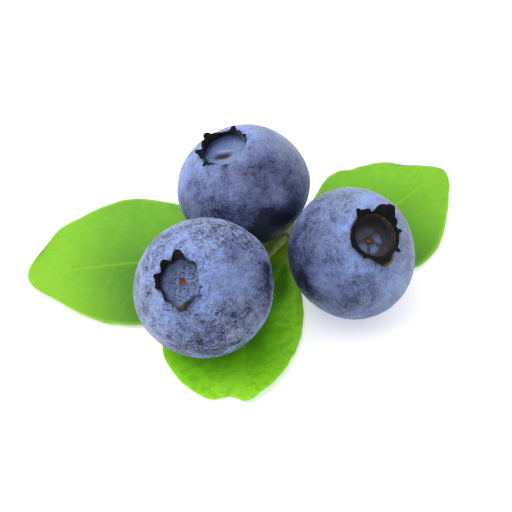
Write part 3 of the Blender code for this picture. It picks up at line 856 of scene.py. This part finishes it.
def make_leaf(name, finish):
    """One leaf with its stalk: an upper and a lower sheet about the solid's middle, closer at
    the margin, with the midrib and the side veins sunk above and raised below. The stalk is
    round in section and its end is drawn on to the twig."""
    leaf = LEAVES[name]
    near = np.linspace(-leaf["petiole"], 0, PETIOLE_ROWS, endpoint=False)
    slide = np.linspace(0, 1, BLADE_ROWS)
    far = slide + 0.035 * np.sin(2 * np.pi * slide) / (2 * np.pi)
    edge = np.linspace(-1, 1, LEAF_COLUMNS)
    edge = np.sign(edge) * (1 - (1 - np.abs(edge)) ** 1.15)
    share, across = np.broadcast_arrays(np.concatenate((near, far))[:, None], edge[None, :])
    plan, offset = leaf_plan(name, share, across)
    main, sides = vein_pattern(leaf, share, across, offset)
    height = leaf_height(leaf, share, across)
    place = np.concatenate((plan, height[..., None]), axis=-1)
    on_blade = smooth_step(share / 0.06)
    on_stalk = 1 - on_blade
    quilt = 0.05 * lumps(place, 2.3, leaf["seed"]) + 0.02 * lumps(place, 0.8, leaf["seed"] + 50)
    # The rim is rounded over its last stretch across the blade and at the tip
    past = np.maximum((np.abs(across) - 0.965) / 0.035, (share - 0.985) / 0.015).clip(0)
    rim = np.sqrt(np.clip(1 - past**2, 0.03, 1))
    blade = BLADE * (1 - 0.45 * np.abs(across) ** 5) * rim
    stalk = PETIOLE * np.sqrt(np.clip(1 - 0.97 * across**2, 0, 1))
    half = (on_blade * blade + on_stalk * stalk) / 2
    middle = height + on_blade * (BLADE + quilt) + on_stalk * PETIOLE / 2
    upper = middle + half - on_blade * (0.075 * main + 0.035 * sides)
    lower = middle - half - on_blade * (0.1 * main * smooth_step((1 - share) * 4) + 0.03 * sides)
    # The stalk's last stretch is drawn over and up to the twig
    pull = rise(-share / leaf["petiole"], 0.35, 0.65)[..., None]
    plan = plan + pull * (np.array(leaf["root"]) - plan[0].mean(0))
    lift = pull * PETIOLE_LIFT
    top = np.concatenate((plan, upper[..., None] + lift), axis=-1)
    under = np.concatenate((plan, np.maximum(lower, 0)[..., None] + lift), axis=-1)
    # One closed tube: across the top from left to right, then back across the underside
    ring = np.concatenate((top[:, ::-1], under), axis=1) - MIDDLE
    rows, columns = ring.shape[:2]
    over = np.arange(LEAF_COLUMNS - 1)
    ends = np.stack((LEAF_COLUMNS - 1 - over, LEAF_COLUMNS - 2 - over,
                     LEAF_COLUMNS + 1 + over, LEAF_COLUMNS + over), axis=1)
    faces = [*grid_faces(rows, columns), *ends[:, ::-1], *(ends + (rows - 1) * columns)]
    marks = {"midrib": main, "side_veins": sides, **leaf_marks(leaf, share, across, on_blade)}
    marks = {label: np.concatenate((values[:, ::-1], values), axis=1).ravel()
             for label, values in marks.items()}
    marks["underside"] = np.tile(np.repeat((0, 1), LEAF_COLUMNS), rows)
    add_piece("leaf_blade_" + name, "leaf_" + name, finish, ring, faces, marks)


# Twig


def tube(path, around, ridges, seed, bulges=()):
    """A round rod carried along a smooth line with a radius at each point, with fine ridges
    along it, low lumps, and a swelling where something joins. Its ends are closed."""
    line = smooth_line(path, ROD_ROWS)
    way = np.gradient(line[:, :3], axis=0)
    way /= np.linalg.norm(way, axis=1, keepdims=True)
    side = np.cross(way, (0, 0, 1))
    side /= np.linalg.norm(side, axis=1, keepdims=True)
    up = np.cross(side, way)
    turn = 2 * np.pi * np.arange(around) / around
    share = np.linspace(0, 1, ROD_ROWS)[:, None]
    radius = line[:, 3:4] * (1 + ridges * np.sin(9 * turn + 2 * np.sin(5 * share + seed)))
    for place, depth, width in bulges:
        radius = radius * (1 + depth * hill(share - place, width))
    out = np.cos(turn)[None, :, None] * side[:, None] + np.sin(turn)[None, :, None] * up[:, None]
    ring = line[:, None, :3] + radius[..., None] * out
    ring = ring + 0.035 * lumps(ring, 0.9, seed)[..., None] * (ring - line[:, None, :3])
    points = np.vstack((ring.reshape(-1, 3), line[0, :3], line[-1, :3])) - MIDDLE
    points[:, 2] = np.maximum(points[:, 2], 0.02)
    return points, share * np.ones(around)


def pedicel_path(name):
    """Points of a berry's stalk with the radius at each: out of the stem dimple, then on to the
    twig, thicker at both ends."""
    axis = np.array(BERRIES[name]["axis"]) / np.linalg.norm(BERRIES[name]["axis"])
    centre = np.array(BERRIES[name]["centre"])
    start = OBLATE * BERRIES[name]["radius"] - DIMPLE_DEPTH - 0.1
    out = start + DIMPLE_DEPTH + 0.4 + PEDICELS[name]["straight"]
    path = [(*(centre - axis * start), PEDICEL_END_RADIUS), (*(centre - axis * out), PEDICEL_RADIUS)]
    *between, joint = PEDICELS[name]["path"]
    path += [(*point, PEDICEL_RADIUS * 0.9) for point in between]
    return path + [(*joint, PEDICEL_RADIUS * 1.1)]


def make_twig(finish):
    """The twig and the three stalks as one piece of four closed rods that meet inside it. The
    twig is greenest where the stalks leave it, and its far end is cut."""
    rods = [(TWIG, 40, 0.03, TWIG_NODES)] + [(pedicel_path(name), 24, 0.02, ()) for name in PEDICELS]
    parts = []
    faces = []
    count = 0
    for number, (path, around, ridges, bulges) in enumerate(rods):
        points, share = tube(path, around, ridges, 61 + number, bulges)
        on_twig = number == 0
        green = 0.1 + 0.7 * (1 - share) ** 2 if on_twig else np.ones_like(share)
        parts.append((points, with_ends(green), with_ends(rise(share, 0.995, 0.004) * on_twig)))
        faces += closed_faces(ROD_ROWS, around, count)
        count += len(points)
    points, green, cut = (np.concatenate(group) for group in zip(*parts))
    add_piece("twig_and_stalks", "twig", finish, points, faces,
              {"green": green, "cut_end": cut})


# Finishes


class Finish:
    """A node tree with short calls: each adds one node, sets or links its inputs and gives its
    output."""

    def __init__(self, holder, end="Principled BSDF"):
        holder.use_nodes = True
        self.holder = holder
        self.tree = holder.node_tree
        self.end = self.tree.nodes[end]

    def add(self, kind, inputs, output=0, **settings):
        node = self.tree.nodes.new("ShaderNode" + kind)
        for key, value in settings.items():
            setattr(node, key, value)
        self.fill(node, inputs)
        return node.outputs[output]

    def fill(self, node, inputs):
        for key, value in inputs.items():
            socket = node.inputs[key]
            if isinstance(value, bpy.types.NodeSocket):
                self.tree.links.new(value, socket)
            elif socket.type == "RGBA":
                socket.default_value = (*(part / 1000 for part in value), 1)
            else:
                socket.default_value = value

    def mark(self, label, output="Fac"):
        return self.add("Attribute", {}, output, attribute_name=label)

    def place(self):
        """Object coordinates in millimetres."""
        return self.scaled(self.add("TexCoord", {}, "Object"), (1000, 1000, 1000))

    def scaled(self, vector, scale):
        return self.add("Mapping", {"Vector": vector, "Scale": scale})

    def noise(self, vector, scale, detail, rough, distortion=0):
        return self.add("TexNoise", {"Vector": vector, "Scale": scale, "Detail": detail,
                                     "Roughness": rough, "Distortion": distortion}, "Fac")

    def cells(self, vector, scale, feature="F1"):
        return self.add("TexVoronoi", {"Vector": vector, "Scale": scale}, "Distance", feature=feature)

    def span(self, value, low, high, to_low=0, to_high=1):
        inputs = {0: value, 1: low, 2: high, 3: to_low, 4: to_high}
        return self.add("MapRange", inputs, interpolation_type="SMOOTHSTEP")

    def math(self, operation, first, second, clamp=False):
        return self.add("Math", {0: first, 1: second}, operation=operation, use_clamp=clamp)

    def plus(self, first, second, clamp=False):
        return self.math("ADD", first, second, clamp)

    def times(self, first, second, clamp=False):
        return self.math("MULTIPLY", first, second, clamp)

    def blend(self, share, first, second):
        return self.add("Mix", {0: share, 6: first, 7: second}, 2, data_type="RGBA")

    def layers(self, colour, *layers):
        """A ground colour and what lies on it: how much of each, and its colour."""
        for share, tone in layers:
            colour = self.blend(share, colour, tone)
        return colour

    def bump(self, height, distance, strength):
        return self.add("Bump", {"Height": height, "Distance": distance * MM, "Strength": strength})


def bloomed_skin():
    """Dark skin under a pale waxy bloom. Clouds, rubbed patches, painted shade between the berries
    and on their lower sides, short scratches along and round the berry and small pits thin the
    bloom; patches of painted greyish sheen lie towards the outlines; the bowl, its star and the
    scar differ, and the back berry has painted shade in a notch by the scar and a painted
    highlight on the ridge beside it."""
    f = Finish(bpy.data.materials.new("bloomed_blueberry_skin"))
    tones = SKIN_TONES
    grain = f.mark("grain", "Vector")
    clouds = f.noise(grain, 0.3, 4, 0.55, 0.3)
    mottle = f.noise(grain, 0.9, 4, 0.5, 0.3)
    spots = f.noise(grain, 2.4, 3, 0.55, 0.5)
    down = f.noise(f.scaled(grain, (1, 1, 0.3)), 5.5, 3, 0.65, 0.8)
    around = f.noise(f.scaled(grain, (0.3, 0.3, 1.2)), 5, 3, 0.65, 0.8)
    fine = f.noise(grain, 6.5, 3, 0.7)
    zone = f.noise(grain, 0.55, 3, 0.6)
    other_zone = f.noise(f.scaled(grain, (-1, 1, -1)), 0.5, 3, 0.6)
    scratches = f.times(f.span(down, 0.36, 0.52, 0.4, 0), f.span(zone, 0.38, 0.6, 0.25, 1))
    hatch = f.times(f.span(around, 0.38, 0.52, 0.44, 0), f.span(other_zone, 0.42, 0.6, 0.12, 1))
    marks = f.plus(f.span(mottle, 0.32, 0.68, -0.17, 0.17), f.span(spots, 0.34, 0.66, -0.12, 0.13))
    marks = f.math("SUBTRACT", marks, f.math("MAXIMUM", scratches, hatch))
    marks = f.math("SUBTRACT", marks, f.span(f.cells(grain, 1.9), 0.03, 0.12, 0.35, 0))
    marks = f.plus(marks, f.span(fine, 0.3, 0.7, -0.24, 0.24))
    # Bloom cover, thinned where rubbed and where shade is painted
    cover = f.math("SUBTRACT", f.span(clouds, 0.28, 0.66, 0.63, 0.88), f.mark("rubbed_and_painted_shade"))
    cover = f.plus(cover, f.times(marks, f.mark("crisp")), clamp=True)
    # Greyer bloom: a random tone, with painted greyish sheen towards the outlines
    greyer_tone_and_painted_sheen = f.plus(f.times(f.span(zone, 0.35, 0.65), 0.4), f.mark("greyer_tone_and_painted_sheen"), clamp=True)
    crest = f.times(f.span(f.noise(grain, 4.6, 2, 0.6), 0.56, 0.7, 0, 0.55), f.mark("crisp"))
    pocks = f.span(f.noise(grain, 5.2, 4, 0.8, 0.6), 0.46, 0.52)
    pocks = f.math("MAXIMUM", pocks, f.mark("calm_floor"))
    star = f.times(f.mark("star"), f.span(mottle, 0.34, 0.58, 0.35, 1))
    slate_floor = f.blend(star, f.blend(pocks, *tones["slate_floor"]), tones["star"])
    slate_floor = f.blend(f.mark("rim_shade"), slate_floor, tones["rim_shade"])
    floor = f.blend(f.mark("dark_bowl"), f.blend(pocks, *tones["blue_floor"]), slate_floor)
    scar = f.blend(f.mark("dark_bowl"), *tones["scar"])
    scar = f.blend(f.span(fine, 0.35, 0.62, 0.8, 0), scar, tones["scar_fleck"])
    colour = f.layers(
        f.blend(mottle, *tones["bare"]),
        (f.span(cover, 0, 0.32), f.blend(clouds, *tones["thin"])),
        (f.span(cover, 0.22, 0.62), f.blend(greyer_tone_and_painted_sheen, *tones["middle"])),
        (f.span(cover, 0.52, 1), f.blend(greyer_tone_and_painted_sheen, *tones["bloom"])),
        (f.times(crest, cover), tones["crest"]),
        (f.mark("bowl"), floor),
        # Painted highlight on the ridge, and the scar's dark ring, on the back berry painted shade in a
        # notch
        (f.mark("ridge_with_painted_highlight"), tones["ridge_with_painted_highlight"]),
        (f.mark("scar_ring_and_notch_shade"), tones["scar_ring_and_notch_shade"]),
        (f.mark("scar"), scar),
        (f.mark("stem_end"), tones["stem_end"]),
    )
    f.fill(f.end, {
        "Base Color": colour,
        "Roughness": f.span(cover, 0, 0.9, 0.4, 0.74),
        "Normal": f.bump(f.plus(f.times(cover, 0.7), f.times(fine, 0.5)), 0.045, 0.7),
        "Specular IOR Level": f.span(cover, 0, 0.6, 0.12, 0.3),
        "Sheen Weight": f.span(cover, 0.15, 0.75, 0.02, 0.26),
        "Sheen Roughness": 0.34,
        "Sheen Tint": tones["sheen"],
    })
    return f.holder


def dried_crown_film():
    """Dry film, nearly black, with brown worn edges, tan lines at the fold and some bloom."""
    f = Finish(bpy.data.materials.new("dried_crown_film"))
    tones = FILM_TONES
    grain = f.mark("grain", "Vector")
    patch = f.noise(grain, 1.6, 5, 0.65)
    fibre = f.noise(f.scaled(grain, (1, 1, 0.35)), 6, 4, 0.7, 0.5)
    pocks = f.span(f.noise(grain, 5.2, 4, 0.8, 0.6), 0.42, 0.52, 0.35, 1)
    worn = f.times(f.mark("edge"), f.span(fibre, 0.45, 0.75, 0, 0.7))
    tan = f.times(f.mark("tan"), f.span(fibre, 0.25, 0.75, 0.45, 1.3), clamp=True)
    dusty = f.times(f.mark("bloom"), f.span(patch, 0.25, 0.6, 0.45, 1.1), clamp=True)
    film = f.layers(f.blend(f.span(patch, 0.3, 0.7), *tones["film"]), (worn, tones["worn"]),
                    (tan, tones["tan"]), (f.times(dusty, pocks), tones["dusty"]))
    f.fill(f.end, {
        "Base Color": film,
        "Roughness": f.span(patch, 0.3, 0.7, 0.55, 0.85),
        "Normal": f.bump(fibre, 0.05, 0.7),
        "Specular IOR Level": 0.07,
    })
    return f.holder


def fresh_leaf():
    """Fresh green blade: paler midrib, faint side veins and a thin pale margin, a fine net
    between the veins, a yellower far end with painted light, painted light on the sunny half,
    painted shade near the base and where the berries shade the front leaf, and a paler matt
    underside."""
    f = Finish(bpy.data.materials.new("fresh_leaf_green"))
    tones = LEAF_TONES
    place = f.place()
    flat_place = f.scaled(place, (1, 1, 0.3))
    drift = f.span(f.noise(place, 0.14, 3, 0.5), 0.35, 0.65)
    soft = f.noise(place, 0.7, 4, 0.6)
    net = f.cells(flat_place, 1.25, "DISTANCE_TO_EDGE")
    grit = f.noise(place, 6, 3, 0.6)
    along = f.mark("along")
    green = f.mark("depth_of_green")
    glands = f.span(f.cells(flat_place, 1.2), 0.06, 0.17, 0.5, 0)
    blotch = f.span(f.noise(place, 1.3, 3, 0.6), 0.32, 0.6, 0.32, 0)
    # Painted light on a blade's sunny half
    light = f.blend(f.mark("sunny"), f.blend(drift, *tones["light"]), tones["sunny"])
    blade = f.layers(
        f.blend(green, light, f.blend(drift, *tones["deep"])),
        (f.span(soft, 0.3, 0.7, 0, 0.3), tones["cloud"]),
        # Painted shade towards the base, near the berries
        (f.span(along, 0, 0.4, 0.44, 0), tones["painted_shade_near_base"]),
        (f.span(net, 0, 0.06, 0.1, 0), tones["net"]),
        # The tip's yellower tone with painted light; on the front leaf also along its right margin
        (f.mark("tip_light"), f.blend(green, *tones["tip"])),
        (f.times(f.mark("shaded"), 0.92), tones["shaded"]),
        (f.span(along, -0.02, 0.08, 0.8, 0), tones["petiole"]),
        (f.times(glands, f.span(green, 0, 1, 0.14, 0.7)), tones["gland"]),
        (f.times(blotch, f.span(green, 0, 1, 0.3, 1)), tones["blotch"]),
        (f.times(f.mark("side_veins"), 0.05), tones["side_veins"]),
        (f.times(f.mark("midrib"), 0.28), tones["midrib"]),
        (f.times(f.mark("margin"), 0.5), tones["margin"]),
        (f.times(f.mark("underside"), 0.45), tones["underside"]),
    )
    f.fill(f.end, {
        "Base Color": blade,
        "Roughness": f.span(soft, 0.3, 0.7, 0.42, 0.58),
        "Normal": f.bump(f.plus(f.times(f.span(net, 0, 0.12), 0.6), f.times(grit, 0.3)), 0.015, 0.4),
        "Specular IOR Level": 0.14,
    })
    return f.holder


def young_bark():
    """Young bark: green stalks that turn brown on the twig, with long dark fibres, pale flecks
    and pale wood at the cut end."""
    f = Finish(bpy.data.materials.new("young_twig_bark"))
    tones = BARK_TONES
    place = f.place()
    fibre = f.noise(f.scaled(place, (3, 0.35, 3)), 1.5, 5, 0.65, 0.3)
    tone = f.span(f.noise(place, 0.5, 4, 0.6), 0.35, 0.65)
    bark = f.layers(
        f.blend(f.mark("green"), f.blend(tone, *tones["brown"]), f.blend(tone, *tones["fresh"])),
        (f.span(fibre, 0.35, 0.65, 0.4, 0), tones["fibre"]),
        (f.span(f.cells(place, 1.7), 0.06, 0.16, 0.6, 0), tones["fleck"]),
        (f.mark("cut_end"), tones["cut_end"]),
    )
    f.fill(f.end, {
        "Base Color": bark,
        "Roughness": f.span(fibre, 0.3, 0.7, 0.62, 0.82),
        "Normal": f.bump(fibre, 0.06, 0.7),
        "Specular IOR Level": 0.3,
    })
    return f.holder


# Stage


def make_floor():
    """A plain pale floor that reaches past every view."""
    mesh = bpy.data.meshes.new("floor")
    corners = np.array(((-1, -1, 0), (1, -1, 0), (1, 1, 0), (-1, 1, 0))) * FLOOR_HALF_SIDE
    mesh.from_pydata((corners - (0, 0, FLOOR_DROP)) * MM, [], [(0, 1, 2, 3)])
    pale = Finish(bpy.data.materials.new("plain_pale_floor"))
    pale.fill(pale.end, {"Base Color": FLOOR_TONE, "Roughness": 0.9, "Specular IOR Level": 0.1,
                         "Emission Color": WHITE, "Emission Strength": FLOOR_GLOW})
    mesh.materials.append(pale.holder)
    floor = put("floor", mesh)


def light_studio():
    """White surroundings whose brightness is a level plus a share of the height and a share of
    the way back, and one broad soft square panel that faces the sprig from the upper left."""
    sky = Finish(bpy.data.worlds.new("white_surroundings"), "Background")
    direction = sky.add("TexCoord", {}, "Generated")
    growth = sky.add("VectorMath", {0: direction, 1: SKY_GROWTH}, "Value", operation="DOT_PRODUCT")
    sky.fill(sky.end, {"Color": WHITE, "Strength": sky.plus(growth, SKY_LEVEL)})
    bpy.context.scene.world = sky.holder
    light = bpy.data.lights.new("soft_panel_above", "AREA")
    light.size = PANEL_SIZE * MM
    light.energy = PANEL_POWER
    panel = put(light.name, light)
    panel.location = np.array(PANEL_PLACE) * MM
    x, y, z = -np.array(PANEL_PLACE) / np.linalg.norm(PANEL_PLACE)
    panel.rotation_euler = (math.acos(-z), 0, math.atan2(y, x) - math.pi / 2)


def place_camera():
    """The photograph's camera: above the front, looking at the middle of the picture."""
    lens = bpy.data.cameras.new("camera")
    lens.lens = LENS
    lens.sensor_width = SENSOR
    lens.clip_start = 0.01
    lens.clip_end = 10
    camera = put("camera", lens)
    angle = math.radians(VIEW_ELEVATION)
    back = np.array((0, -math.cos(angle), math.sin(angle)))
    camera.location = (back * CAMERA_DISTANCE - MIDDLE) * MM
    camera.rotation_euler = (math.pi / 2 - angle, 0, 0)
    bpy.context.scene.camera = camera
    bpy.context.scene.view_settings.view_transform = "Standard"


def main():
    place_camera()
    light_studio()
    make_floor()
    skin = bloomed_skin()
    film = dried_crown_film()
    green = fresh_leaf()
    bark = young_bark()
    for name in BERRIES:
        make_berry(name, skin)
        make_crown(name, film)
    for name in LEAVES:
        make_leaf(name, green)
    make_twig(bark)
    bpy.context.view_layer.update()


main()
